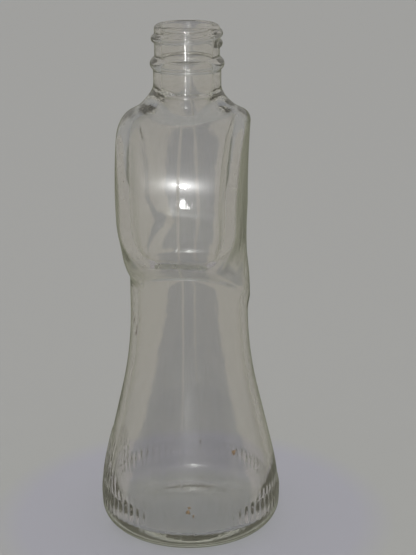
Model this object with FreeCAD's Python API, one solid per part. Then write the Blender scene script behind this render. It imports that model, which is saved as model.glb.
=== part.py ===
import FreeCAD, Part
import math
import os

from FreeCAD import Vector

# A clear glass bottle with a small screw neck. The head is a flat flask with a bowed front, a
# flatter back and two upright narrow sides. Under it a ledge steps in to a waist, and the skirt
# flares from there to a round foot. It is one hollow piece of moulded glass.
#
# Millimetres, +Z up, and the front faces -Y. The origin is the middle of the foot, on the
# surface that the bottle stands on. Heights are above that surface unless they say otherwise.

# --- neck and mouth -----------------------------------------------------------------------------
OVERALL_HEIGHT = 162.8
LIP_RADIUS = 9.9            # plain neck above the bead, which carries the screw thread
LIP_ROUND = 1.3
BORE_RADIUS = 7.4           # the mouth, straight down to the shoulder
BORE_FLARE = 3.0            # sweep from the bore out into the inside of the shoulder
BEAD_RADIUS = 11.3          # transfer bead below the thread
BEAD_LENGTH = 3.8
BEAD_BELOW_LIP = 11.6       # lip to the middle of the bead
NECK_RADIUS = 10.35         # below the bead
NECK_ROOT_ROUND = 6.0       # sweep from the neck out into the shoulder

# --- head ---------------------------------------------------------------------------------------
SHOULDER_HEIGHT = 140.2     # where the lines of neck and shoulder would meet
SHOULDER_ANGLE = 27.0       # fall of the shoulder, degrees below level
SHOULDER_ROUND = 2.5        # rim between the shoulder and the upright walls
BOW_HEIGHT = 113.0          # where the front stands out the most
BOW_RADIUS = 160.0          # of the front, seen from the side
HEAD_SIDE = 26.0            # axis to each narrow side
HEAD_FRONT = 22.1           # axis to the front, at its most
HEAD_BACK = 17.9            # axis to the back, at its least
BACK_HEIGHT = 107.0         # where the back stands out the least
BACK_RADIUS = 350.0         # of the hollow of the back, seen from the side
BACK_CROWN = 1.4            # the back swells by this much from side to side
SIDE_FRONT = 17.2           # middle of a narrow side to its front edge
SIDE_FOOT_DRAW = 5.5        # both edges draw in by this much down to the ledge
SIDE_FOOT_RISE = 11.0       # how far above the ledge that rounding starts
SIDE_CROWN = 0.5            # the narrow sides swell by this much
CORNER_ROUND = 2.4          # upright edges
LEDGE_HEIGHT = 93.7         # lower edge of the narrow sides
LEDGE_ANGLE = 35.0          # slope of the ledge in to the waist, degrees below level
LEDGE_ROUND = 1.8
ROLL_HEIGHT = 91.0          # below this the front rolls in to the waist
FRONT_ROLL = 14.0
HEAD_SECTIONS = 12

# --- waist, skirt and foot ----------------------------------------------------------------------
WAIST_SIDE = 16.8           # axis to the waist, sideways
WAIST_DEPTH = 18.7          # axis to the waist, to the front and to the back
WAIST_LOW = 73.5            # the waist is straight between these two heights
WAIST_HIGH = 82.0
WAIST_TOP_SWEEP = 27.0      # radius on which the waist draws in under the head
WAIST_SWEEP = 120.0         # radius of the sweep from the waist into the flare
FOOT_SWEEP = 80.0           # radius of the sweep from the flare into the foot
FOOT_RADIUS = 29.7
FOOT_HEIGHT = 5.5           # the foot is straight up to here
HEEL_ROUND = 6.6
PUSH_UP_RADIUS = 20.6       # hollow under the foot, which leaves a ring to stand on
PUSH_UP_FLAT = 12.0         # radius of the flat in the middle of that hollow
PUSH_UP_HEIGHT = 2.2
SKIRT_SECTIONS = 18

# --- glass --------------------------------------------------------------------------------------
WALL = 2.4
FLOOR = 4.8                 # height of the inside floor
INNER_HEEL_ROUND = 5.0
INNER_CORNER_ROUND = 4.0
INNER_SHOULDER_ROUND = 2.5
INNER_LEDGE_ROUND = 2.4


def unit(vector):
    """The same direction, one millimetre long."""
    return vector * (1.0 / vector.Length)


def solid_of_revolution(profile):
    """Turn a closed profile in the XZ plane round the Z axis."""
    return Part.Face(Part.Wire(profile)).revolve(Vector(0, 0, 0), Vector(0, 0, 1), 360)


def line(start, end):
    """Straight edge in the XZ plane between two (radius, height) pairs."""
    return Part.makeLine(Vector(start[0], 0, start[1]), Vector(end[0], 0, end[1]))


def arc(start, middle, end):
    """Arc in the XZ plane through three (radius, height) pairs."""
    points = [Vector(radius, 0, height) for radius, height in (start, middle, end)]
    return Part.Arc(*points).toShape()


# --- head ---------------------------------------------------------------------------------------
def fillet_arc(centre_a, radius_a, centre_b, radius_b, radius, near):
    """Arc of the given radius inside circles a and b, at the meeting of the two that is near."""
    reach_a = radius_a - radius
    reach_b = radius_b - radius
    span = centre_b - centre_a
    along = (reach_a ** 2 - reach_b ** 2 + span.Length ** 2) / (2 * span.Length)
    across = math.sqrt(reach_a ** 2 - along ** 2)
    ahead = unit(span)
    aside = Vector(-ahead.y, ahead.x, 0)
    options = [centre_a + ahead * along + aside * across * sign for sign in (-1, 1)]
    centre = min(options, key=lambda option: (option - near).Length)
    start = centre_a + unit(centre - centre_a) * radius_a
    end = centre_b + unit(centre - centre_b) * radius_b
    middle = centre + unit(unit(start - centre) + unit(end - centre)) * radius
    return start, middle, end


def mirrored(point):
    """The point on the other side of the bottle."""
    return Vector(-point.x, point.y, point.z)


def head_outline(height, side, front, back, front_edge, back_edge, corner):
    """Closed outline across the head: bowed front and back, narrow sides, rounded edges."""
    front_bow = front - front_edge
    back_bow = back - back_edge
    half_length = (front_edge + back_edge) / 2
    side_middle_y = (back_edge - front_edge) / 2
    front_radius = (side ** 2 + front_bow ** 2) / (2 * front_bow)
    back_radius = (side ** 2 + back_bow ** 2) / (2 * back_bow)
    side_radius = (half_length ** 2 + SIDE_CROWN ** 2) / (2 * SIDE_CROWN)
    front_centre = Vector(0, front_radius - front, height)
    back_centre = Vector(0, back - back_radius, height)
    side_centre = Vector(side + SIDE_CROWN - side_radius, side_middle_y, height)

    f1, f2, f3 = fillet_arc(front_centre, front_radius, side_centre, side_radius, corner,
                            Vector(side, -front_edge, height))
    b1, b2, b3 = fillet_arc(back_centre, back_radius, side_centre, side_radius, corner,
                            Vector(side, back_edge, height))
    side_middle = Vector(side + SIDE_CROWN, side_middle_y, height)
    front_middle = Vector(0, -front, height)
    back_middle = Vector(0, back, height)
    arcs = (
        (mirrored(f1), front_middle, f1),
        (f1, f2, f3),
        (f3, side_middle, b3),
        (b3, b2, b1),
        (b1, back_middle, mirrored(b1)),
        (mirrored(b1), mirrored(b2), mirrored(b3)),
        (mirrored(b3), mirrored(side_middle), mirrored(f3)),
        (mirrored(f3), mirrored(f2), mirrored(f1)),
    )
    return Part.Wire([Part.Arc(*points).toShape() for points in arcs])


def head_widths(height):
    """From the axis to the front, the back, and the front and back edges of a narrow side."""
    roll = max(0.0, ROLL_HEIGHT - height) ** 2 / (2 * FRONT_ROLL)
    share = min(1.0, (height - LEDGE_HEIGHT) / SIDE_FOOT_RISE)
    draw = SIDE_FOOT_DRAW * (1 - math.sin(share * math.pi / 2))
    front = HEAD_FRONT - (height - BOW_HEIGHT) ** 2 / (2 * BOW_RADIUS) - roll
    back = HEAD_BACK + (height - BACK_HEIGHT) ** 2 / (2 * BACK_RADIUS)
    front_edge = SIDE_FRONT - draw - roll
    back_edge = back - BACK_CROWN - draw
    return front, back, front_edge, back_edge


def head_walls(inset, corner):
    """The head's upright walls, from below the ledge to above the shoulder."""
    low = LEDGE_HEIGHT - SIDE_FOOT_RISE
    high = SHOULDER_HEIGHT + NECK_ROOT_ROUND
    outlines = []
    for number in range(HEAD_SECTIONS):
        height = low + (high - low) * number / (HEAD_SECTIONS - 1)
        widths = [width - inset for width in head_widths(height)]
        outlines.append(head_outline(height, HEAD_SIDE - inset, *widths, corner))
    return Part.makeLoft(outlines, True, False, False, 3)


def ledge_wedges(inset):
    """What the two ledges take off the lower end of the head."""
    slope = math.tan(math.radians(LEDGE_ANGLE))
    level = LEDGE_HEIGHT + inset / math.cos(math.radians(LEDGE_ANGLE))
    bottom = LEDGE_HEIGHT - 2 * SIDE_FOOT_RISE
    toe = HEAD_SIDE - (level - bottom) / slope
    heel = HEAD_SIDE + 2 * SIDE_CROWN
    triangle = Part.makePolygon([
        Vector(toe, -HEAD_FRONT, bottom),
        Vector(heel, -HEAD_FRONT, bottom),
        Vector(heel, -HEAD_FRONT, level + (heel - HEAD_SIDE) * slope),
        Vector(toe, -HEAD_FRONT, bottom),
    ])
    wedge = Part.Face(triangle).extrude(Vector(0, 2 * HEAD_FRONT, 0))
    return [wedge, wedge.mirror(Vector(0, 0, 0), Vector(1, 0, 0))]


def shoulder_form(neck, drop, sweep):
    """Round form under the shoulder's slope, with the sweep up into a neck of that radius."""
    angle = math.radians(SHOULDER_ANGLE)
    reach = HEAD_SIDE + HEAD_FRONT
    bottom = LEDGE_HEIGHT - 2 * SIDE_FOOT_RISE
    top = SHOULDER_HEIGHT + NECK_ROOT_ROUND

    def slope_height(radius):
        return SHOULDER_HEIGHT - drop / math.cos(angle) - (radius - NECK_RADIUS) * math.tan(angle)

    centre = (neck + sweep, slope_height(neck + sweep) + sweep / math.cos(angle))
    on_neck = (neck, centre[1])
    on_slope = (centre[0] - sweep * math.sin(angle), centre[1] - sweep * math.cos(angle))
    turn = (math.pi / 2 - angle) / 2
    middle = (centre[0] - sweep * math.cos(turn), centre[1] - sweep * math.sin(turn))
    return solid_of_revolution([
        line((0, bottom), (reach, bottom)),
        line((reach, bottom), (reach, slope_height(reach))),
        line((reach, slope_height(reach)), on_slope),
        arc(on_slope, middle, on_neck),
        line(on_neck, (neck, top)),
        line((neck, top), (0, top)),
        line((0, top), (0, bottom)),
    ])


def head(inset, corner, neck, sweep, rounds):
    """The head under a neck of that radius. Its rounds are of the shoulder and of the ledges."""
    form = head_walls(inset, corner).cut(ledge_wedges(inset))
    form = form.common(shoulder_form(neck, inset, sweep))
    shoulder_round, ledge_round = rounds
    cone = next(face for face in form.Faces if isinstance(face.Surface, Part.Cone))
    rim = [edge for edge in cone.Edges if edge.CenterOfMass.z < cone.BoundBox.Center.z]
    form = form.makeFillet(shoulder_round, rim)
    ledge_edges = []
    for face in form.Faces:
        if isinstance(face.Surface, Part.Plane) and 0.1 < abs(face.normalAt(0, 0).x) < 0.9:
            foot = face.BoundBox.ZMin
            ledge_edges += [edge for edge in face.Edges if edge.BoundBox.ZMax > foot + 0.1]
    return form.makeFillet(ledge_round, ledge_edges)


def neck_finish():
    """The neck from the shoulder up: bead, plain threaded length and rounded lip."""
    bottom = SHOULDER_HEIGHT + NECK_ROOT_ROUND
    bead = OVERALL_HEIGHT - BEAD_BELOW_LIP
    bead_low = (NECK_RADIUS, bead - BEAD_LENGTH / 2)
    bead_high = (LIP_RADIUS, bead + BEAD_LENGTH / 2)
    lip_low = (LIP_RADIUS, OVERALL_HEIGHT - LIP_ROUND)
    lip_top = (LIP_RADIUS - LIP_ROUND, OVERALL_HEIGHT)
    lip_turn = LIP_ROUND * (1 - math.sqrt(0.5))
    return solid_of_revolution([
        line((0, bottom), (NECK_RADIUS, bottom)),
        line((NECK_RADIUS, bottom), bead_low),
        arc(bead_low, (BEAD_RADIUS, bead), bead_high),
        line(bead_high, lip_low),
        arc(lip_low, (LIP_RADIUS - lip_turn, OVERALL_HEIGHT - lip_turn), lip_top),
        line(lip_top, (0, OVERALL_HEIGHT)),
        line((0, OVERALL_HEIGHT), (0, bottom)),
    ])


# --- waist, skirt and foot ----------------------------------------------------------------------
def skirt_share(height):
    """How far the skirt has opened at a height: 0 at the waist, 1 at the foot."""
    rise = WAIST_LOW - FOOT_HEIGHT
    run = FOOT_RADIUS - WAIST_DEPTH
    sweeps = WAIST_SWEEP + FOOT_SWEEP
    angle = math.atan2(rise, sweeps - run) - math.acos(sweeps / math.hypot(sweeps - run, rise))
    above_foot = height - FOOT_HEIGHT
    below_waist = WAIST_LOW - height
    if below_waist <= 0:
        opened = 0.0
    elif above_foot <= 0:
        opened = run
    elif below_waist < WAIST_SWEEP * math.sin(angle):
        opened = WAIST_SWEEP - math.sqrt(WAIST_SWEEP ** 2 - below_waist ** 2)
    elif above_foot > FOOT_SWEEP * math.sin(angle):
        straight = below_waist - WAIST_SWEEP * math.sin(angle)
        opened = WAIST_SWEEP * (1 - math.cos(angle)) + straight * math.tan(angle)
    else:
        opened = run - FOOT_SWEEP + math.sqrt(FOOT_SWEEP ** 2 - above_foot ** 2)
    return opened / run


def skirt_outline(height, inset):
    """Outline across the skirt: four arcs that make an oval at the waist, a circle at the foot."""
    share = skirt_share(height)
    draw_in = inset + max(0.0, height - WAIST_HIGH) ** 2 / (2 * WAIST_TOP_SWEEP)
    side = WAIST_SIDE + (FOOT_RADIUS - WAIST_SIDE) * share - draw_in
    depth = WAIST_DEPTH + (FOOT_RADIUS - WAIST_DEPTH) * share - draw_in
    corner = math.sqrt(0.5)
    shift = (side - depth) / (2 - math.sqrt(2))
    knot = shift + (side - shift) * corner
    rise = (side - shift) * corner
    points = (
        (side, 0), (knot, rise), (0, depth), (-knot, rise),
        (-side, 0), (-knot, -rise), (0, -depth), (knot, -rise),
    )
    spots = [Vector(x, y, height) for x, y in points]
    arcs = []
    for number in (1, 3, 5, 7):
        three = (spots[number], spots[(number + 1) % 8], spots[(number + 2) % 8])
        arcs.append(Part.Arc(*three).toShape())
    return Part.Wire(arcs)


def skirt(low, inset, heel):
    """The foot, skirt and waist, from a flat lower end with a rounded rim up into the head."""
    high = LEDGE_HEIGHT
    outlines = []
    for number in range(SKIRT_SECTIONS):
        height = low + (high - low) * number / (SKIRT_SECTIONS - 1)
        outlines.append(skirt_outline(height, inset))
    form = Part.makeLoft(outlines, True, False, False, 3)
    rim = [edge for edge in form.Edges if edge.BoundBox.ZMax < low + 0.01]
    return form.makeFillet(heel, rim)


def push_up():
    """The shallow hollow under the foot."""
    return Part.makeCone(PUSH_UP_RADIUS, PUSH_UP_FLAT, PUSH_UP_HEIGHT)


# --- the bottle ---------------------------------------------------------------------------------
def outside():
    """The bottle as if it were solid glass."""
    flask = head(0, CORNER_ROUND, NECK_RADIUS, NECK_ROOT_ROUND, (SHOULDER_ROUND, LEDGE_ROUND))
    return skirt(0, 0, HEEL_ROUND).fuse([flask, neck_finish()]).removeSplitter()


def inside():
    """The space that the bottle holds, up through the mouth."""
    flask = head(WALL, INNER_CORNER_ROUND, BORE_RADIUS, BORE_FLARE,
                 (INNER_SHOULDER_ROUND, INNER_LEDGE_ROUND))
    bore_low = SHOULDER_HEIGHT + NECK_ROOT_ROUND
    bore = Part.makeCylinder(BORE_RADIUS, OVERALL_HEIGHT - bore_low + 1, Vector(0, 0, bore_low))
    return skirt(FLOOR, WALL, INNER_HEEL_ROUND).fuse([flask, bore]).removeSplitter()


def bottle():
    """The glass: the outside less the inside and the hollow underneath."""
    return outside().cut([inside(), push_up()])


os.makedirs("parts", exist_ok=True)
bottle().exportStep("parts/bottle.step")
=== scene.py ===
"""A clear glass toiletry bottle: one piece of moulded glass, empty and without its cap.

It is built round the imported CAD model, in metres, +Z up, with the front facing -Y.
"""

import math

import bpy
import numpy as np
from bpy.props import FloatProperty, FloatVectorProperty, IntProperty, PointerProperty
from mathutils import Matrix, Vector


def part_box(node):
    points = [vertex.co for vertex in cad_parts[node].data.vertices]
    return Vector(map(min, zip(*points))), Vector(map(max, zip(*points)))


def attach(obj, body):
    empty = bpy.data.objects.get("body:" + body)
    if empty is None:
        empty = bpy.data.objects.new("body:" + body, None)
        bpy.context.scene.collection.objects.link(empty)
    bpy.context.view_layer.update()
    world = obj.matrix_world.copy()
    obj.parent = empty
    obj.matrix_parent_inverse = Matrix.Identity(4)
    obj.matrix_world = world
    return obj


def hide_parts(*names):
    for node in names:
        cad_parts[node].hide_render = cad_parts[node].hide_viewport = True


bl_info = {
    "name": "Glass Toiletry Bottle",
    "version": (1, 0, 0),
    "blender": (4, 5, 0),
    "location": "View3D > Sidebar > Bottle",
    "description": "Builds a hollow glass bottle with a flask head, a waist and a ribbed foot",
    "category": "Add Mesh",
}

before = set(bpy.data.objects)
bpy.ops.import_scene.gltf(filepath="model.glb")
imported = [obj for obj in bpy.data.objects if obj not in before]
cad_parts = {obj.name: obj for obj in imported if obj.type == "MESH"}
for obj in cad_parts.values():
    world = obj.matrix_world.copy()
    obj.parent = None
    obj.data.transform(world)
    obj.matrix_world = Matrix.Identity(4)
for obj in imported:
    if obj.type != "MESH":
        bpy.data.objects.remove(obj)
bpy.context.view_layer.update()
LOW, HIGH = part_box("bottle")

MM = 0.001

# Sizes in millimetres, as in the part's source. The mesh is made in these and scaled at the end.
# Neck and mouth.
LIP_RADIUS = 9.9
LIP_ROUND = 1.3
BORE_RADIUS = 7.9
BORE_ROUND = 0.7
BORE_FLARE = 3.0
BEAD_RADIUS = 11.3
BEAD_LENGTH = 3.8
BEAD_BELOW_LIP = 11.6
NECK_RADIUS = 10.35
NECK_ROOT_ROUND = 6.0
# Head.
SHOULDER_HEIGHT = 140.2
SHOULDER_ANGLE = math.radians(27.0)
BOW_HEIGHT = 113.0
BOW_RADIUS = 160.0
HEAD_SIDE = 26.0
HEAD_FRONT = 22.1
HEAD_BACK = 17.9
BACK_HEIGHT = 107.0
BACK_RADIUS = 350.0
BACK_CROWN = 1.4
SIDE_FRONT = 17.2
SIDE_FOOT_DRAW = 5.5
SIDE_FOOT_RISE = 11.0
SIDE_CROWN = 1.0
SIDE_TAPER = 0.052          # each narrow side leans in by this share from front to back
ARCH_HEIGHT = 109.0         # above this the narrow sides curve over towards the neck
ARCH_RADIUS = 33.0
LEDGE_HEIGHT = 93.7
LEDGE_ANGLE = math.radians(35.0)
ROLL_HEIGHT = 91.0          # below this the front rolls in towards the waist
FRONT_ROLL = 14.0
HEAD_CORNER = 2.4
INNER_HEAD_CORNER = 4.0
LEDGE_ROUND = 1.8
INNER_LEDGE_ROUND = 2.4
SHOULDER_ROUND = 2.5
NECK_JOIN_HEIGHT = 100.0    # the neck's form ends here, hidden in the head's
# Waist, skirt and foot.
WAIST_SIDE = 16.8
WAIST_DEPTH = 18.7
WAIST_LOW = 73.5
WAIST_HIGH = 82.0
WAIST_TOP_SWEEP = 27.0
WAIST_SWEEP = 120.0
FOOT_SWEEP = 80.0
FOOT_HEIGHT = 5.5
FOOT_MARGIN = 0.13          # the crests stay this far inside the CAD model's foot
SKIRT_JOIN_ROUND = 1.6      # where the waist meets the head
INNER_SKIRT_JOIN_ROUND = 3.0
HEEL_ROUND = 6.6
PUSH_UP_RADIUS = 22.5
PUSH_UP_HEIGHT = 1.6
FLOOR_HEIGHT = 4.8
FLOOR_RADIUS = 24.4         # the inside floor is flat out to here, and the heel rises from it
INNER_HEEL_SLOPE = math.radians(78.0)
INNER_HEEL_ROUND = 2.5
INNER_FLOOR_ROUND = 1.0
# Unevenness of blown glass: height, length of the waves and seed.
OUTSIDE_WAVES = (0.04, 30.0, 3)
WALL_WAVES = (0.3, 34.0, 8)
FLOOR_WAVES = (0.25, 22.0, 5)
WAVE_COUNT = 9

# Ribs round the foot, which rise to a hump at the front.
RIB_BOTTOM = 5.0
RIB_TOP = 14.0
RIB_HUMP_TOP = 31.0
RIB_HUMP_ANGLE = 32.0       # half the hump's width, degrees round the foot
RIB_TOP_END = 3.2
RIB_BOTTOM_END = 7.0
# Mould seams.
SEAM_HEIGHT = 0.12
SEAM_BOTTOM = 3.0
SEAM_BOTTOM_END = 4.0
SEAM_TOP = 161.5
SEAM_TOP_END = 1.0
SEAM_HALF_ANGLES = (0.35, 0.75)     # degrees to each side: a column of points, and the edge
# Screw thread.
THREAD_HEIGHT = 159.25      # on the +X side
THREAD_PITCH = 3.175
THREAD_WIDTH = 2.4
THREAD_DEPTH = 1.0
THREAD_START = -280.0       # degrees round the neck from +X
THREAD_END = 125.0
THREAD_FADE = 28.0          # degrees over which each end runs out

# Rings of the mesh. Below FAN_HEIGHT they lie on rays that fan out from the axis, above it on
# levels, which are closer at the ledges and at the shoulder.
RIB_SAMPLES = 8
OUTER_COLUMNS = 272
INNER_COLUMNS = 176
FAN_HEIGHT = 14.0
RIBBED_STEP = 1.0
PLAIN_STEP = 2.2
LEDGES_LOW = 82.0
LEDGES_HIGH = 100.0
LEDGES_STEP = 0.8
INNER_LEDGES_STEP = 0.9
HEAD_STEP = 2.0
SHOULDER_LOW = 127.0
INNER_SHOULDER_LOW = 124.0
SHOULDER_STEP = 0.62
NECK_STEP = 0.6
THREAD_STEP = 0.33
BEAD_RINGS = 17
LIP_RINGS = 8
BORE_EDGE_RINGS = 6
BORE_RINGS = 8
SEARCH_REACH = 60.0         # further from the axis than any surface
SEARCH_STEPS = 36           # halvings of that reach

# Flecks: angle round the axis from +X in degrees, height, length, width, lean and seed.
SCRATCHES = (
    (-64.5, 70.8, 3.0, 0.42, 27.0, 1), (-58.6, 69.2, 0.9, 0.6, 10.0, 2),
    (-59.3, 67.3, 2.6, 0.42, 18.0, 3), (-68.0, 72.6, 1.6, 0.25, 4.0, 4))
STAINS = (
    (42.2, 30.6, 1.7, 1.2, 12.0, 5), (4.7, 13.6, 1.5, 1.3, 20.0, 6),
    (8.6, 12.2, 1.2, 0.6, -8.0, 7), (5.6, 15.2, 0.7, 1.1, 5.0, 8))
FLECK_POINTS = 28
FLECK_THICKNESS = 0.09
FLECK_SINK = 0.02           # how deep a fleck's edge lies in the glass
FLECK_UNDERSIDE = 0.05      # and how far its underside lies below that edge
FLECK_RINGS = (             # share of the fleck's size, share of its thickness
    (1.0, 0.015), (0.85, 0.5), (0.6, 0.85), (0.3, 1.0), (0.02, 1.0))
FLECK_LOBES = (             # lobes round the edge, height of each
    (2, 0.1), (3, 0.14), (5, 0.1), (8, 0.07))

# Stage, in metres.
CAMERA_AZIMUTH = math.radians(96.0)
CAMERA_PITCH = math.radians(18.018)
CAMERA_ROLL = math.radians(0.26)
CAMERA_DISTANCE = 0.42505
CAMERA_HEIGHT = 0.22105
CAMERA_ASIDE = 0.00603
LENS = 121.9
SENSOR_WIDTH = 36.0
FLOOR_HALF_WIDTH = 12.0
FLOOR_DROP = 0.0001         # keeps the floor clear of the foot
FLOOR_CENTRE = (0.0, 0.0)
FLOOR_REACH = 0.062         # the floor takes the backdrop's tone beyond this
FLOOR_BLEND = 0.006
# Where the painted shade of the bottle lies on the floor; only rays through the glass see it.
SHADE_ACROSS = (-0.1045, 0.9945, 0.0)
SHADE_MIDDLE = -0.001
SHADE_HALF_WIDTH = 0.0235
SHADE_BLEND = 0.001
LAMP_ASIDE = 0.045          # how far left of the camera, and above it, the small lamp hangs
LAMP_TARGET = (0.0, 0.0, 0.08)
LAMP_SIZE = (0.026, 0.026)
LAMP_POWER = 0.62
STRIP_SIZE = (0.009, 0.048)
STRIP_POWER = 0.045
STRIP_PLACE = (0.3, 0.004, 0.119)
STRIP_FACING = (1.0, 0.0, -0.16)
EVEN_LIGHT = (0.95, 0.95, 0.95, 1.0)
ROOM_BEHIND = (0.27, 0.27, 0.265, 1.0)
ROOM_BESIDE = (0.13, 0.135, 0.11, 1.0)
ROOM_BEFORE = (0.06, 0.06, 0.065, 1.0)
ROOM_ABOVE = (0.19, 0.195, 0.21, 1.0)


# --- the form -----------------------------------------------------------------------------------
# Each form is a distance in millimetres, negative inside the form and positive outside it.
def round_common(a, b, radius):
    """What two forms share, with a fillet along their edge."""
    reach = np.hypot(np.maximum(a + radius, 0), np.maximum(b + radius, 0))
    return np.minimum(np.maximum(a, b), -radius) + reach


def round_join(a, b, radius):
    """Two forms as one, with a fillet in the corner between them."""
    return -round_common(-a, -b, radius)


def head_form(x, y, z, inset, corner, ledge, shoulder):
    """The flask head: bowed front, flatter back, narrow sides, ledges and sloping shoulder."""
    roll = np.maximum(0.0, ROLL_HEIGHT - z) ** 2 / (2 * FRONT_ROLL)
    share = np.clip((z - LEDGE_HEIGHT) / SIDE_FOOT_RISE, -1.5, 1.0)
    draw = SIDE_FOOT_DRAW * (1 - np.sin(share * math.pi / 2))
    front = HEAD_FRONT - (z - BOW_HEIGHT) ** 2 / (2 * BOW_RADIUS) - roll
    back = HEAD_BACK + (z - BACK_HEIGHT) ** 2 / (2 * BACK_RADIUS)
    front_edge = SIDE_FRONT - draw - roll
    back_edge = back - BACK_CROWN - draw
    front_bow = front - front_edge
    back_bow = back - back_edge
    front_radius = (HEAD_SIDE**2 + front_bow**2) / (2 * front_bow)
    back_radius = (HEAD_SIDE**2 + back_bow**2) / (2 * back_bow)
    half_side = np.maximum((front_edge + back_edge) / 2, 2.0)
    side_radius = (half_side**2 + SIDE_CROWN**2) / (2 * SIDE_CROWN)
    side_y = (back_edge - front_edge) / 2
    to_front = np.hypot(x, y - (front_radius - front)) - front_radius
    to_back = np.hypot(x, y - (back - back_radius)) - back_radius
    arch = np.hypot(np.abs(x) - HEAD_SIDE + ARCH_RADIUS, np.maximum(z - ARCH_HEIGHT, 0.0))
    to_side = arch - ARCH_RADIUS - SIDE_CROWN + (y - side_y) ** 2 / (2 * side_radius)
    to_side = to_side + SIDE_TAPER * (y - side_y)
    form = round_common(np.maximum(to_front, to_back) + inset, to_side + inset, corner)
    to_ledge = (LEDGE_HEIGHT - z) * math.cos(LEDGE_ANGLE)
    to_ledge = to_ledge + (np.abs(x) - HEAD_SIDE) * math.sin(LEDGE_ANGLE)
    form = round_common(form, to_ledge + inset, ledge)
    slope = SHOULDER_HEIGHT - (np.hypot(x, y) - NECK_RADIUS) * math.tan(SHOULDER_ANGLE)
    to_shoulder = (z - slope) * math.cos(SHOULDER_ANGLE)
    return round_common(form, to_shoulder + inset, shoulder)


def skirt_share(z):
    """How far the skirt has opened at a height: 0 at the waist, 1 at the foot."""
    rise = WAIST_LOW - FOOT_HEIGHT
    run = FOOT_RADIUS - WAIST_DEPTH
    sweeps = WAIST_SWEEP + FOOT_SWEEP
    angle = math.atan2(rise, sweeps - run) - math.acos(sweeps / math.hypot(sweeps - run, rise))
    below_waist = np.clip(WAIST_LOW - z, 0, rise)
    above_foot = rise - below_waist
    upper = WAIST_SWEEP - np.sqrt(WAIST_SWEEP**2 - np.minimum(below_waist, WAIST_SWEEP) ** 2)
    straight = below_waist - WAIST_SWEEP * math.sin(angle)
    flare = WAIST_SWEEP * (1 - math.cos(angle)) + straight * math.tan(angle)
    lower = run - FOOT_SWEEP + np.sqrt(FOOT_SWEEP**2 - np.minimum(above_foot, FOOT_SWEEP) ** 2)
    opened = np.where(below_waist < WAIST_SWEEP * math.sin(angle), upper,
                      np.where(above_foot > FOOT_SWEEP * math.sin(angle), flare, lower))
    return opened / run


def skirt_form(x, y, z, inset):
    """Waist, flaring skirt and foot, open ended: an oval at the waist and a circle at the foot."""
    share = skirt_share(z)
    draw_in = inset + np.maximum(0.0, z - WAIST_HIGH) ** 2 / (2 * WAIST_TOP_SWEEP)
    side = WAIST_SIDE + (FOOT_RADIUS - WAIST_SIDE) * share - draw_in
    depth = WAIST_DEPTH + (FOOT_RADIUS - WAIST_DEPTH) * share - draw_in
    reach = np.maximum(np.hypot(x, y), 0.001)
    return reach - reach / np.sqrt((x / side) ** 2 + (y / depth) ** 2)


def rib_relief(x, y, z):
    """How far the upright ribs stand out of the foot at a place."""
    turn = np.arctan2(y, x)
    ridge = 0.5 + 0.5 * np.cos(turn * RIB_COUNT)
    number = np.round(turn * RIB_COUNT / (2 * math.pi))
    from_front = number * 2 * math.pi / RIB_COUNT + math.pi / 2
    from_front = np.degrees(np.abs(np.angle(np.exp(1j * from_front))))
    hump = np.clip(1 - (from_front / RIB_HUMP_ANGLE) ** 2, 0, 1)
    top = RIB_TOP + (RIB_HUMP_TOP - RIB_TOP) * np.sqrt(hump)
    top_end = np.clip((top - z) / RIB_TOP_END, 0, 1)
    low_end = np.clip((z - RIB_BOTTOM) / RIB_BOTTOM_END, 0, 1)
    return RIB_HEIGHT * ridge * np.sqrt(1 - (1 - top_end) ** 2) * low_end**2 * (3 - 2 * low_end)


def seam_relief(x, y, z):
    """The fine upright ridges where the two halves of the mould met."""
    from_seam = np.degrees(np.abs(np.arctan2(y, np.abs(x))))
    along = np.clip((z - SEAM_BOTTOM) / SEAM_BOTTOM_END, 0, 1)
    along = along * np.clip((SEAM_TOP - z) / SEAM_TOP_END, 0, 1)
    ragged = 1 + 0.3 * np.sin(z * 5.7) + 0.2 * np.sin(z * 3.1 + 1)
    return SEAM_HEIGHT * ragged * np.clip(1 - from_seam / SEAM_HALF_ANGLES[-1], 0, 1) * along


def waves(x, y, z, height, length, seed):
    """Slow unevenness of blown glass, as a sum of a few long waves."""
    rng = np.random.default_rng(seed)
    total = np.zeros(np.broadcast(x, y, z).shape)
    for _ in range(WAVE_COUNT):
        way = rng.normal(size=3)
        way = way / np.linalg.norm(way) * 2 * math.pi / (length * rng.uniform(0.6, 1.6))
        total += np.sin(x * way[0] + y * way[1] + z * way[2] * 0.6 + rng.uniform(0, 6.3))
    return height * (total / WAVE_COUNT)


def outside_form(x, y, z):
    """The whole outside below the bead."""
    head = head_form(x, y, z, 0.0, HEAD_CORNER, LEDGE_ROUND, SHOULDER_ROUND)
    reach = np.hypot(x, y)
    neck = np.maximum(reach - NECK_RADIUS, NECK_JOIN_HEIGHT - z)
    form = round_join(head, neck, NECK_ROOT_ROUND)
    hollow = PUSH_UP_HEIGHT * np.clip(1 - (reach / PUSH_UP_RADIUS) ** 2, 0, 1) ** 2
    walls = skirt_form(x, y, z, 0.0)
    skirt = round_common(walls, hollow - z, HEEL_ROUND) - rib_relief(x, y, z)
    skirt = np.maximum(skirt, z - LEDGE_HEIGHT)
    form = round_join(form, skirt, SKIRT_JOIN_ROUND)
    form = form - seam_relief(x, y, z) + waves(x, y, z, *OUTSIDE_WAVES)
    return np.maximum(form, -z)


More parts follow.
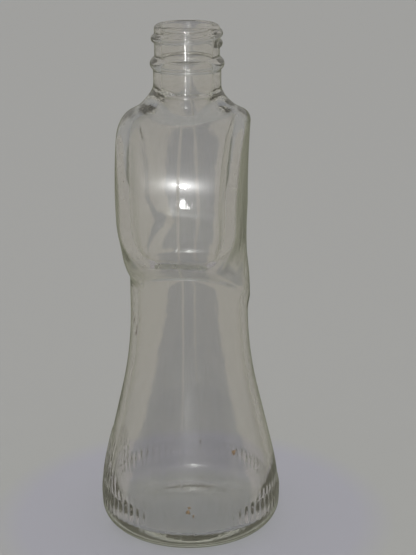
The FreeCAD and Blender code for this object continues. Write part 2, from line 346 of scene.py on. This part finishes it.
def inside_form(x, y, z):
    """The whole inside below the bore."""
    wall = WALL + waves(x, y, z, *WALL_WAVES)
    head = head_form(x, y, z, wall, INNER_HEAD_CORNER, INNER_LEDGE_ROUND, SHOULDER_ROUND)
    reach = np.hypot(x, y)
    bore = np.maximum(reach - BORE_RADIUS, NECK_JOIN_HEIGHT - z)
    form = round_join(head, bore, BORE_FLARE)
    floor = FLOOR_HEIGHT + waves(x, y, 0.0 * z, *FLOOR_WAVES)
    heel = (reach - FLOOR_RADIUS) * math.sin(INNER_HEEL_SLOPE)
    heel = heel - (z - floor) * math.cos(INNER_HEEL_SLOPE)
    skirt = round_common(skirt_form(x, y, z, wall), heel, INNER_HEEL_ROUND)
    skirt = round_common(skirt, floor - z, INNER_FLOOR_ROUND)
    skirt = np.maximum(skirt, z - LEDGE_HEIGHT)
    return round_join(form, skirt, INNER_SKIRT_JOIN_ROUND)


def find_surface(form, angles, start_height, rise):
    """Points on a form's surface, one for each angle, on rays that leave the axis.

    The rays start at start_height and climb by rise, an angle above level.
    """
    level, up = math.cos(rise), math.sin(rise)
    inner = np.zeros(len(angles))
    outer = np.full(len(angles), SEARCH_REACH)
    across, along = np.cos(angles) * level, np.sin(angles) * level
    for _ in range(SEARCH_STEPS):
        middle = (inner + outer) / 2
        out = form(middle * across, middle * along, start_height + middle * up) > 0
        outer = np.where(out, middle, outer)
        inner = np.where(out, inner, middle)
    reach = (inner + outer) / 2
    return np.stack([reach * across, reach * along, start_height + reach * up], axis=1)


def column_angles(count):
    """Angles of a ring's points, with a few more at each seam."""
    steps = np.arange(count) * 2 * math.pi / count
    extra = [side * math.radians(a) for a in SEAM_HALF_ANGLES for side in (-1, 1)]
    spots = np.concatenate([steps, np.array(extra), np.array(extra) + math.pi])
    return np.sort(np.mod(spots, 2 * math.pi))


def stitch(first, second, angles_first, angles_second):
    """Faces between two rings, given the numbers and the angles of their points."""
    faces = []
    if len(first) == len(second):
        for i in range(len(first)):
            j = (i + 1) % len(first)
            faces.append((first[i], first[j], second[j], second[i]))
        return faces
    i = j = 0
    turn = 2 * math.pi
    while i < len(first) or j < len(second):
        next_first = angles_first[i + 1] if i + 1 < len(first) else angles_first[0] + turn
        next_second = angles_second[j + 1] if j + 1 < len(second) else angles_second[0] + turn
        take_first = j >= len(second) or (i < len(first) and next_first <= next_second)
        a, b = first[i % len(first)], second[j % len(second)]
        if take_first:
            faces.append((a, first[(i + 1) % len(first)], b))
            i += 1
        else:
            faces.append((a, second[(j + 1) % len(second)], b))
            j += 1
    return faces


def neck_profile():
    """(radius, height) pairs up the outside of the neck, over the lip and down the bore."""
    bead = TOP - BEAD_BELOW_LIP
    low, high = bead - BEAD_LENGTH / 2, bead + BEAD_LENGTH / 2
    neck_foot = SHOULDER_HEIGHT + NECK_ROOT_ROUND
    pairs = [(NECK_RADIUS, z) for z in np.arange(neck_foot, low - 0.2, NECK_STEP)]
    crown = BEAD_RADIUS - (NECK_RADIUS + LIP_RADIUS) / 2
    for share in np.linspace(0, 1, BEAD_RINGS):
        base = NECK_RADIUS + (LIP_RADIUS - NECK_RADIUS) * share
        swell = crown * max(0.0, math.sin(math.pi * share)) ** 0.75
        pairs.append((base + swell, low + (high - low) * share))
    for z in np.arange(high + 0.28, TOP - LIP_ROUND - 0.1, THREAD_STEP):
        pairs.append((LIP_RADIUS, z))
    for turn in np.linspace(0, math.pi / 2, LIP_RINGS):
        pairs.append((LIP_RADIUS - LIP_ROUND * (1 - math.cos(turn)),
                      TOP - LIP_ROUND * (1 - math.sin(turn))))
    for turn in np.linspace(math.pi / 2, 0, BORE_EDGE_RINGS):
        pairs.append((BORE_RADIUS + BORE_ROUND * (1 - math.cos(turn)),
                      TOP - BORE_ROUND * (1 - math.sin(turn))))
    for z in np.linspace(TOP - BORE_ROUND - 1.0, neck_foot + 1, BORE_RINGS):
        pairs.append((BORE_RADIUS, z))
    return pairs


def thread_relief(angles, z):
    """The screw thread: one rounded ridge that climbs round the neck and fades at its ends."""
    relief = np.zeros(len(angles))
    for turn in (-1, 0, 1):
        spot = np.degrees(angles) + 360 * turn
        middle = THREAD_HEIGHT + THREAD_PITCH * spot / 360
        across = np.clip(1 - ((z - middle) / (THREAD_WIDTH / 2)) ** 2, 0, 1)
        ends = np.clip((spot - THREAD_START) / THREAD_FADE, 0, 1)
        ends = ends * np.clip((THREAD_END - spot) / THREAD_FADE, 0, 1)
        relief = np.maximum(relief, THREAD_DEPTH * np.sqrt(across) * np.sin(ends * math.pi / 2))
    return relief


def neck_rings(outer, inner):
    """The rings of the neck, with the thread and the seams on its outside."""
    rings = []
    for radius, z in neck_profile():
        outside = radius > BORE_RADIUS + BORE_ROUND
        angles = outer if outside else inner
        height = np.full(len(angles), z)
        reach = np.full(len(angles), radius)
        if outside and z < TOP - 0.3:
            reach = reach + thread_relief(angles, z)
            reach = reach + seam_relief(np.cos(angles), np.sin(angles), height)
        points = np.stack([reach * np.cos(angles), reach * np.sin(angles), height], axis=1)
        rings.append((points, angles))
    return rings


def bottle_rings():
    """The bottle's rings, from the middle of the foot up outside and down inside to the floor."""
    rings = []

    def add_fan(form, angles, rises):
        for rise in rises:
            points = find_surface(form, angles, FAN_HEIGHT, math.radians(rise))
            rings.append((points, angles))

    def add_levels(form, angles, *heights):
        for z in np.concatenate(heights):
            rings.append((find_surface(form, angles, z, 0.0), angles))

    ribbed = column_angles(RIB_COUNT * RIB_SAMPLES)
    outer = column_angles(OUTER_COLUMNS)
    inner = column_angles(INNER_COLUMNS)
    neck_foot = SHOULDER_HEIGHT + NECK_ROOT_ROUND
    add_fan(outside_form, inner, np.linspace(-89.0, -68.0, 14))
    add_fan(outside_form, inner, np.linspace(-66.5, -27.0, 18))
    add_fan(outside_form, ribbed, np.linspace(-25.5, -1.0, 18))
    add_levels(outside_form, ribbed, np.arange(FAN_HEIGHT, RIB_HUMP_TOP + 1.5, RIBBED_STEP))
    add_levels(outside_form, outer,
               np.arange(RIB_HUMP_TOP + 2.5, LEDGES_LOW, PLAIN_STEP),
               np.arange(LEDGES_LOW, LEDGES_HIGH, LEDGES_STEP),
               np.arange(LEDGES_HIGH, SHOULDER_LOW, HEAD_STEP),
               np.arange(SHOULDER_LOW, neck_foot, SHOULDER_STEP))
    rings += neck_rings(outer, inner)
    add_levels(inside_form, inner,
               np.arange(neck_foot, INNER_SHOULDER_LOW, -NECK_STEP),
               np.arange(INNER_SHOULDER_LOW, LEDGES_HIGH, -HEAD_STEP),
               np.arange(LEDGES_HIGH, LEDGES_LOW, -INNER_LEDGES_STEP),
               np.arange(LEDGES_LOW, FAN_HEIGHT + 0.5, -PLAIN_STEP))
    add_fan(inside_form, inner, np.linspace(-1.0, -88.0, 30))
    return rings


def new_mesh(name, points, faces):
    """A smooth mesh in metres, of points in millimetres."""
    mesh = bpy.data.meshes.new(name)
    mesh.from_pydata((points * MM).tolist(), [], faces)
    mesh.validate()
    mesh.shade_smooth()
    return mesh


def mesh_from_rings(name, rings):
    """A closed mesh through the rings, capped by one point at each end."""
    points = [rings[0][0].mean(axis=0)[None]]
    numbers, total = [], 1
    for spots, _ in rings:
        points.append(spots)
        numbers.append(list(range(total, total + len(spots))))
        total += len(spots)
    points.append(rings[-1][0].mean(axis=0)[None])
    first, last = numbers[0], numbers[-1]
    faces = [(0, first[(i + 1) % len(first)], first[i]) for i in range(len(first))]
    for k in range(len(rings) - 1):
        faces += stitch(numbers[k], numbers[k + 1], rings[k][1], rings[k + 1][1])
    faces += [(last[i], last[(i + 1) % len(last)], total) for i in range(len(last))]
    return new_mesh(name, np.concatenate(points), faces)


def fleck_rings(form, side, fleck):
    """The rings of a thin closed fleck, from its underside in the glass to its crown."""
    angle, height, length, width, lean, seed = fleck
    angle, lean = math.radians(angle), math.radians(lean)
    rng = np.random.default_rng(seed)
    turns = np.arange(FLECK_POINTS) * 2 * math.pi / FLECK_POINTS
    ragged = 1 + sum(share * np.sin(times * turns + rng.uniform(0, 2 * math.pi))
                     for times, share in FLECK_LOBES)
    centre = find_surface(form, np.array([angle]), height, 0.0)[0]
    radius = math.hypot(centre[0], centre[1])
    rings = []
    for share, raised in FLECK_RINGS:
        along = length / 2 * share * ragged * np.cos(turns)
        across = width / 2 * share * ragged * np.sin(turns)
        level = across * math.cos(lean) + along * math.sin(lean)
        up = along * math.cos(lean) - across * math.sin(lean)
        angles = angle + level / radius
        surface = find_surface(form, angles, height + up, 0.0)
        grown = side * (FLECK_THICKNESS * raised - FLECK_SINK)
        surface[:, 0] += grown * np.cos(angles)
        surface[:, 1] += grown * np.sin(angles)
        rings.append(surface)
    underside = rings[0].copy()
    underside[:, 0] -= side * FLECK_UNDERSIDE * math.cos(angle)
    underside[:, 1] -= side * FLECK_UNDERSIDE * math.sin(angle)
    return [underside] + rings


def mesh_of_flecks(name, form, side, flecks):
    """One mesh of flecks on a form's surface; side is 1 outside the glass and -1 inside it."""
    points, faces, first = [], [], 0
    for fleck in flecks:
        rings = fleck_rings(form, side, fleck)
        own = []
        last = first + (len(rings) - 1) * FLECK_POINTS
        for ring in range(first, last, FLECK_POINTS):
            for i in range(FLECK_POINTS):
                a, b = ring + i, ring + (i + 1) % FLECK_POINTS
                own.append((a, b, b + FLECK_POINTS, a + FLECK_POINTS))
        own.append(tuple(first + i for i in reversed(range(FLECK_POINTS))))
        own.append(tuple(last + i for i in range(FLECK_POINTS)))
        faces += [face[::-1] for face in own] if side > 0 else own
        points += rings
        first = last + FLECK_POINTS
    return new_mesh(name, np.concatenate(points), faces)


# --- sizes that a user would change -------------------------------------------------------------
class BottleSizes(bpy.types.PropertyGroup):
    """Sizes of the glass."""

    height: FloatProperty(
        name="Height", description="From the foot to the lip", unit="LENGTH",
        default=HIGH.z - LOW.z, min=0.05, max=0.5)
    foot_radius: FloatProperty(
        name="Foot radius", description="From the axis to the crests of the ribs", unit="LENGTH",
        default=HIGH.x, min=0.02, max=0.06)
    wall: FloatProperty(
        name="Wall", description="Thickness of the glass", unit="LENGTH",
        default=0.0024, min=0.001, max=0.006)
    rib_count: IntProperty(
        name="Ribs", description="Number of upright ribs round the foot",
        default=72, min=12, max=144)
    rib_height: FloatProperty(
        name="Rib height", description="How far each rib stands out", unit="LENGTH",
        default=0.00034, min=0.0, max=0.002)


def use_sizes(sizes):
    """Take over the user's sizes, in millimetres, for the forms and the rings."""
    global TOP, FOOT_RADIUS, WALL, RIB_COUNT, RIB_HEIGHT
    TOP = sizes.height / MM
    RIB_COUNT = sizes.rib_count
    RIB_HEIGHT = sizes.rib_height / MM
    FOOT_RADIUS = sizes.foot_radius / MM - RIB_HEIGHT - FOOT_MARGIN
    WALL = sizes.wall / MM


class BottleFinish(bpy.types.PropertyGroup):
    """Colours of the glass and of what clings to it."""

    glass_tint: FloatVectorProperty(
        name="Glass tint", description="Colour that thick glass takes on", subtype="COLOR",
        size=3, default=(0.70, 0.78, 0.25), min=0.0, max=1.0)
    edge_tint: FloatVectorProperty(
        name="Edge tint", description="Tone of the glass where it is seen edge-on", subtype="COLOR",
        size=3, default=(0.50, 0.53, 0.34), min=0.0, max=1.0)
    tint_density: FloatProperty(
        name="Tint density", description="Absorption for each metre of glass",
        default=4.0, min=0.0, max=100.0)
    dirt_tone: FloatVectorProperty(
        name="Scratch dirt", description="Colour of the dirt in the scratches", subtype="COLOR",
        size=3, default=(0.10, 0.075, 0.05), min=0.0, max=1.0)
    stain_tone: FloatVectorProperty(
        name="Stains", description="Colour of the stains inside the foot", subtype="COLOR",
        size=3, default=(0.30, 0.17, 0.07), min=0.0, max=1.0)


class StageLook(bpy.types.PropertyGroup):
    """Floor and light."""

    floor_tone: FloatVectorProperty(
        name="Floor", description="Colour of the floor", subtype="COLOR",
        size=3, default=(0.36, 0.354, 0.392), min=0.0, max=1.0)
    wall_tone: FloatVectorProperty(
        name="Backdrop", description="Colour of the backdrop", subtype="COLOR",
        size=3, default=(0.374, 0.372, 0.36), min=0.0, max=1.0)
    # Painted shade: how much darker the floor is where it is seen through the glass, inside the
    # bottle's shade strip and beside it.
    painted_shade_in_strip: FloatVectorProperty(
        name="Seen through glass", description="How much darker the floor is behind the glass",
        subtype="COLOR", size=3, default=(0.60, 0.60, 0.63), min=0.0, max=1.0)
    # Painted reflection: how much darker the floor is where the glass mirrors it.
    painted_gloss_shade: FloatVectorProperty(
        name="Mirrored in glass", description="How much darker the floor is in the gloss",
        subtype="COLOR", size=3, default=(0.38, 0.40, 0.29), min=0.0, max=1.0)
    painted_shade_beside_strip: FloatVectorProperty(
        name="Seen beside the shade", description="The same, beside the bottle's shade",
        subtype="COLOR", size=3, default=(0.85, 0.815, 0.77), min=0.0, max=1.0)


# --- materials ----------------------------------------------------------------------------------
def new_material(name):
    """A node material, with its tree, its shader node and its output node."""
    material = bpy.data.materials.new(name)
    material.use_nodes = True
    tree = material.node_tree
    return material, tree, tree.nodes["Principled BSDF"], tree.nodes["Material Output"]


def opaque(tone):
    """A colour with full alpha."""
    return (*tone, 1.0)


def feed(tree, socket, value):
    """Link an output to an input, or set the input's own value."""
    if isinstance(value, bpy.types.NodeSocket):
        tree.links.new(value, socket)
    else:
        socket.default_value = value


def add_node(tree, kind, inputs):
    """A node of this kind, with the named inputs set or linked."""
    node = tree.nodes.new(kind)
    for name, value in inputs.items():
        feed(tree, node.inputs[name], value)
    return node


def add_math(tree, operation, *values):
    """A number worked out from one or two others."""
    node = tree.nodes.new("ShaderNodeMath")
    node.operation = operation
    for socket, value in zip(node.inputs, values):
        feed(tree, socket, value)
    return node.outputs["Value"]


def measure(tree, operation, place, other):
    """A number worked out from two vectors."""
    node = tree.nodes.new("ShaderNodeVectorMath")
    node.operation = operation
    feed(tree, node.inputs[0], place)
    feed(tree, node.inputs[1], other)
    return node.outputs["Value"]


def map_range(tree, value, low, high, to_low=0.0, to_high=1.0):
    """A number between low and high, carried over to the range from to_low to to_high."""
    node = add_node(tree, "ShaderNodeMapRange", {
        "Value": value, "From Min": low, "From Max": high, "To Min": to_low, "To Max": to_high})
    return node.outputs["Result"]


def mix_tones(tree, factor, first, second, blend_type="MIX"):
    """Two colours mixed by a factor."""
    node = tree.nodes.new("ShaderNodeMix")
    node.data_type = "RGBA"
    node.blend_type = blend_type
    for name, value in (("Factor", factor), ("A", first), ("B", second)):
        feed(tree, node.inputs[name], value)
    return node.outputs["Result"]


def mix_shaders(tree, factor, first, second):
    """Two shaders mixed by a factor."""
    node = tree.nodes.new("ShaderNodeMixShader")
    for socket, value in zip(node.inputs, (factor, first, second)):
        feed(tree, socket, value)
    return node.outputs["Shader"]


def add_noise(tree, place, scale, detail=2.0, upright=None):
    """Noise at a place; upright is the share of its height kept, which draws it out upwards."""
    if upright is not None:
        node = add_node(tree, "ShaderNodeMapping", {
            "Vector": place, "Scale": (1.0, 1.0, upright)})
        place = node.outputs["Vector"]
    node = add_node(tree, "ShaderNodeTexNoise", {
        "Vector": place, "Scale": scale, "Detail": detail})
    return node.outputs["Fac"]


def glass_material(finish):
    """Clear glass that turns yellow-green where it is thick, under a thin film of dust."""
    material, tree, shader, output = new_material("clear_glass")
    for name, value in (("Roughness", 0.015), ("IOR", 1.52), ("Transmission Weight", 1.0),
                        ("Sheen Weight", 0.05), ("Sheen Roughness", 0.6),
                        ("Sheen Tint", (0.95, 0.9, 0.8, 1.0)),
                        ("Coat Weight", 0.42), ("Coat Roughness", 0.22)):
        shader.inputs[name].default_value = value
    # Darker where it is seen edge-on.
    facing = tree.nodes.new("ShaderNodeLayerWeight").outputs["Facing"]
    edge_on = map_range(tree, facing, 0.62, 0.95)
    tone = mix_tones(tree, edge_on, (1.0, 1.0, 1.0, 1.0), opaque(finish.edge_tint))
    tree.links.new(tone, shader.inputs["Base Color"])
    # Broad unevenness of the surface, with a fine upright grain on it.
    place = tree.nodes.new("ShaderNodeTexCoord").outputs["Object"]
    broad = add_node(tree, "ShaderNodeBump", {
        "Height": add_noise(tree, place, 160.0), "Strength": 0.25, "Distance": 0.0002})
    fine = add_node(tree, "ShaderNodeBump", {
        "Height": add_noise(tree, place, 1300.0, upright=0.3), "Strength": 0.3,
        "Distance": 0.00003, "Normal": broad.outputs["Normal"]})
    tree.links.new(fine.outputs["Normal"], shader.inputs["Normal"])
    # Dried water and dust: a thin warm film, with upright streaks and small specks.
    film = add_node(tree, "ShaderNodeBsdfDiffuse", {"Color": (0.66, 0.6, 0.5, 1.0)})
    streaks = map_range(
        tree, add_noise(tree, place, 420.0, 4.0, upright=0.16), 0.35, 0.8, 0.006, 0.05)
    specks = map_range(tree, add_noise(tree, place, 900.0, 1.0), 0.69, 0.8, 0.0, 0.13)
    cover = add_math(tree, "ADD", streaks, specks)
    hazy = mix_shaders(tree, cover, shader.outputs["BSDF"], film.outputs["BSDF"])
    absorb = add_node(tree, "ShaderNodeVolumeAbsorption", {
        "Color": opaque(finish.glass_tint), "Density": finish.tint_density})
    tree.links.new(absorb.outputs["Volume"], output.inputs["Volume"])
    # Shadow and diffuse light goes straight through, so that the inside and the floor stay clear.
    path = tree.nodes.new("ShaderNodeLightPath")
    clear = add_node(tree, "ShaderNodeBsdfTransparent", {"Color": (0.93, 0.94, 0.92, 1.0)})
    soft = add_math(tree, "MAXIMUM", path.outputs["Is Shadow Ray"], path.outputs["Is Diffuse Ray"])
    surface = mix_shaders(tree, soft, hazy, clear.outputs["BSDF"])
    tree.links.new(surface, output.inputs["Surface"])
    return material


def dirt_material(name, tone, cover):
    """Dried dirt: patchy in tone, rough, and thin enough to let some light by."""
    material, tree, shader, _ = new_material(name)
    shader.inputs["Roughness"].default_value = 0.8
    shader.inputs["Alpha"].default_value = cover
    place = tree.nodes.new("ShaderNodeTexCoord").outputs["Object"]
    patches = add_noise(tree, place, 2600.0)
    dark, pale = [opaque([channel * share for channel in tone]) for share in (0.55, 1.5)]
    tree.links.new(mix_tones(tree, patches, dark, pale), shader.inputs["Base Color"])
    bump = add_node(tree, "ShaderNodeBump", {"Height": patches, "Distance": 0.00004})
    tree.links.new(bump.outputs["Normal"], shader.inputs["Normal"])
    return material


def floor_material(look):
    """Matt pale floor that turns to the backdrop's tone behind the bottle, with painted shade and a
    painted reflection tone where the glass shows it.
    """
    material, tree, shader, _ = new_material("pale_floor")
    shader.inputs["Roughness"].default_value = 0.9
    shader.inputs["Specular IOR Level"].default_value = 0.2
    path = tree.nodes.new("ShaderNodeLightPath")
    place = tree.nodes.new("ShaderNodeTexCoord").outputs["Object"]
    distance = measure(tree, "DISTANCE", place, (*FLOOR_CENTRE, 0.0))
    far = map_range(tree, distance, FLOOR_REACH - FLOOR_BLEND, FLOOR_REACH + FLOOR_BLEND)
    tone = mix_tones(tree, far, opaque(look.floor_tone), opaque(look.wall_tone))
    # Through the glass, the floor shows a painted shade of the bottle: a darker strip that runs
    # away from the lamp, and a milder darkening beside it.
    aside = measure(tree, "DOT_PRODUCT", place, SHADE_ACROSS)
    aside = add_math(tree, "ABSOLUTE", add_math(tree, "SUBTRACT", aside, SHADE_MIDDLE))
    beside = map_range(
        tree, aside, SHADE_HALF_WIDTH - SHADE_BLEND, SHADE_HALF_WIDTH + SHADE_BLEND)
    shade = mix_tones(tree, beside, opaque(look.painted_shade_in_strip), opaque(look.painted_shade_beside_strip))
    tone = mix_tones(tree, path.outputs["Is Transmission Ray"], tone, shade, "MULTIPLY")
    # Mirrored in the glass, the floor is painted darker, a painted reflection that gives the glass
    # its dark edges.
    gloss = add_math(
        tree, "MULTIPLY", path.outputs["Is Glossy Ray"], path.outputs["Is Reflection Ray"])
    tone = mix_tones(tree, gloss, tone, opaque(look.painted_gloss_shade), "MULTIPLY")
    tree.links.new(tone, shader.inputs["Base Color"])
    return material


# --- pieces -------------------------------------------------------------------------------------
def link_object(scene, name, data):
    """A new object in the scene."""
    item = bpy.data.objects.new(name, data)
    scene.collection.objects.link(item)
    return item


class BOTTLE_OT_glass(bpy.types.Operator):
    """Build the bottle's glass."""

    bl_idname = "bottle.glass"
    bl_label = "Glass"

    def execute(self, context):
        scene = context.scene
        use_sizes(scene.bottle_sizes)
        mesh = mesh_from_rings("bottle_glass", bottle_rings())
        mesh.materials.append(glass_material(scene.bottle_finish))
        piece = link_object(scene, "bottle_glass", mesh)
        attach(piece, "root")
        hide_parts("bottle")
        return {"FINISHED"}


class BOTTLE_OT_dirt(bpy.types.Operator):
    """Lay the dirt in the scratches and the stains inside the foot on the glass."""

    bl_idname = "bottle.dirt"
    bl_label = "Dirt"

    def execute(self, context):
        scene = context.scene
        use_sizes(scene.bottle_sizes)
        finish = scene.bottle_finish
        kinds = (("dirt_scratches", SCRATCHES, outside_form, 1, finish.dirt_tone, 0.85),
                 ("dirt_stains", STAINS, inside_form, -1, finish.stain_tone, 0.6))
        for name, flecks, form, side, tone, cover in kinds:
            mesh = mesh_of_flecks(name, form, side, flecks)
            mesh.materials.append(dirt_material(name, tone, cover))
            piece = link_object(scene, name, mesh)
            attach(piece, "root")
        return {"FINISHED"}


# --- stage --------------------------------------------------------------------------------------
def add_camera(scene, back, right, up):
    """The camera: its distance and height, then its pitch and a slight roll. Gives its place."""
    ahead = -back * math.cos(CAMERA_PITCH) - up * math.sin(CAMERA_PITCH)
    camera_up = right.cross(ahead)
    tilted_up = camera_up * math.cos(CAMERA_ROLL) + right * math.sin(CAMERA_ROLL)
    tilted_right = ahead.cross(tilted_up)
    data = bpy.data.cameras.new("camera")
    data.lens, data.sensor_width = LENS, SENSOR_WIDTH
    data.sensor_fit = "HORIZONTAL"
    turn = Matrix((tilted_right, tilted_up, -ahead)).transposed()
    place = back * CAMERA_DISTANCE + right * CAMERA_ASIDE + up * CAMERA_HEIGHT
    camera = link_object(scene, "camera", data)
    camera.matrix_world = Matrix.Translation(place) @ turn.to_4x4()
    scene.camera = camera
    return place


def add_floor(scene, look):
    """A wide level floor."""
    mesh = bpy.data.meshes.new("floor")
    corners = [(x * FLOOR_HALF_WIDTH, y * FLOOR_HALF_WIDTH, 0)
               for x, y in ((-1, -1), (1, -1), (1, 1), (-1, 1))]
    mesh.from_pydata(corners, [], [(0, 1, 2, 3)])
    mesh.materials.append(floor_material(look))
    floor = link_object(scene, "floor", mesh)
    floor.location.z = -FLOOR_DROP


def add_lamp(scene, name, shape, size, energy, place, facing):
    """A lamp for highlights: it shows in the glass, and lights no matt surface."""
    data = bpy.data.lights.new(name, "AREA")
    data.shape = shape
    data.size, data.size_y = size
    data.energy = energy
    lamp = link_object(scene, name, data)
    lamp.location = place
    lamp.rotation_mode = "QUATERNION"
    lamp.rotation_quaternion = facing.to_track_quat("Z", "Y")
    lamp.visible_diffuse = False
    return lamp


def add_room(scene, look, back):
    """The room: even light on matt surfaces, and a dimmer room for the glass to show."""
    world = bpy.data.worlds.new("studio")
    world.use_nodes = True
    scene.world = world
    tree = world.node_tree
    even_light = tree.nodes["Background"]
    even_light.inputs["Color"].default_value = EVEN_LIGHT
    path = tree.nodes.new("ShaderNodeLightPath")
    place = tree.nodes.new("ShaderNodeTexCoord").outputs["Generated"]
    # Palest behind the bottle, dimmer at its sides and darkest on the camera's side.
    toward = map_range(tree, measure(tree, "DOT_PRODUCT", place, tuple(back)), -1.0, 1.0)
    tones = add_node(tree, "ShaderNodeValToRGB", {"Fac": toward})
    bands = tones.color_ramp
    bands.elements[0].position, bands.elements[0].color = 0.30, ROOM_BEHIND
    bands.elements[1].position, bands.elements[1].color = 0.42, ROOM_BESIDE
    for spot, tone in ((0.70, ROOM_BESIDE), (0.80, ROOM_BEFORE)):
        bands.elements.new(spot).color = tone
    height = add_node(tree, "ShaderNodeSeparateXYZ", {"Vector": place}).outputs["Z"]
    above = map_range(tree, height, 0.35, 0.6)
    tone = mix_tones(tree, above, tones.outputs["Color"], ROOM_ABOVE)
    tone = mix_tones(tree, path.outputs["Is Camera Ray"], tone, opaque(look.wall_tone))
    room = add_node(tree, "ShaderNodeBackground", {"Color": tone})
    # The dimmer room is for what is seen, mirrored or refracted before light meets a matt surface.
    seen = add_math(tree, "MAXIMUM", path.outputs["Is Camera Ray"], path.outputs["Is Glossy Ray"])
    seen = add_math(tree, "MAXIMUM", seen, path.outputs["Is Transmission Ray"])
    direct = add_math(tree, "LESS_THAN", path.outputs["Diffuse Depth"], 0.5)
    choose = mix_shaders(tree, add_math(tree, "MULTIPLY", seen, direct),
                         even_light.outputs["Background"], room.outputs["Background"])
    tree.links.new(choose, tree.nodes["World Output"].inputs["Surface"])


class BOTTLE_OT_stage(bpy.types.Operator):
    """Lay the floor, hang the lamps and set up the camera."""

    bl_idname = "bottle.stage"
    bl_label = "Stage"

    def execute(self, context):
        scene = context.scene
        look = scene.bottle_stage
        back = Vector((math.sin(CAMERA_AZIMUTH), -math.cos(CAMERA_AZIMUTH), 0.0))
        right = Vector((-back.y, back.x, 0.0))
        up = Vector((0.0, 0.0, 1.0))
        camera_place = add_camera(scene, back, right, up)
        add_floor(scene, look)
        # A small bright lamp beside the camera gives the sparkle.
        lamp_place = camera_place - right * LAMP_ASIDE + up * LAMP_ASIDE
        add_lamp(scene, "small_lamp", "DISK", LAMP_SIZE, LAMP_POWER,
                 lamp_place, lamp_place - Vector(LAMP_TARGET))
        # A narrow strip below the camera runs a streak down the neck.
        strip = add_lamp(scene, "strip_lamp", "RECTANGLE", STRIP_SIZE, STRIP_POWER,
                         STRIP_PLACE, Vector(STRIP_FACING))
        strip.visible_camera = False
        add_room(scene, look, back)
        scene.view_settings.view_transform = "Standard"
        return {"FINISHED"}


class BOTTLE_PT_panel(bpy.types.Panel):
    """The bottle's pieces and sizes in the sidebar."""

    bl_label = "Bottle"
    bl_space_type = "VIEW_3D"
    bl_region_type = "UI"
    bl_category = "Bottle"

    def draw(self, context):
        scene = context.scene
        for group in (scene.bottle_sizes, scene.bottle_finish, scene.bottle_stage):
            for name in group.__annotations__:
                self.layout.prop(group, name)
        for operator in (BOTTLE_OT_glass, BOTTLE_OT_dirt, BOTTLE_OT_stage):
            self.layout.operator(operator.bl_idname)


CLASSES = (BottleSizes, BottleFinish, StageLook,
           BOTTLE_OT_glass, BOTTLE_OT_dirt, BOTTLE_OT_stage, BOTTLE_PT_panel)


def register():
    """Add the classes and the scene's property groups."""
    for each in CLASSES:
        bpy.utils.register_class(each)
    bpy.types.Scene.bottle_sizes = PointerProperty(type=BottleSizes)
    bpy.types.Scene.bottle_finish = PointerProperty(type=BottleFinish)
    bpy.types.Scene.bottle_stage = PointerProperty(type=StageLook)


def unregister():
    """Take them out again."""
    del bpy.types.Scene.bottle_stage
    del bpy.types.Scene.bottle_finish
    del bpy.types.Scene.bottle_sizes
    for each in reversed(CLASSES):
        bpy.utils.unregister_class(each)


def main():
    """Build the bottle and its stage."""
    register()
    bpy.ops.bottle.glass()
    bpy.ops.bottle.dirt()
    bpy.ops.bottle.stage()


if __name__ == "__main__":
    main()
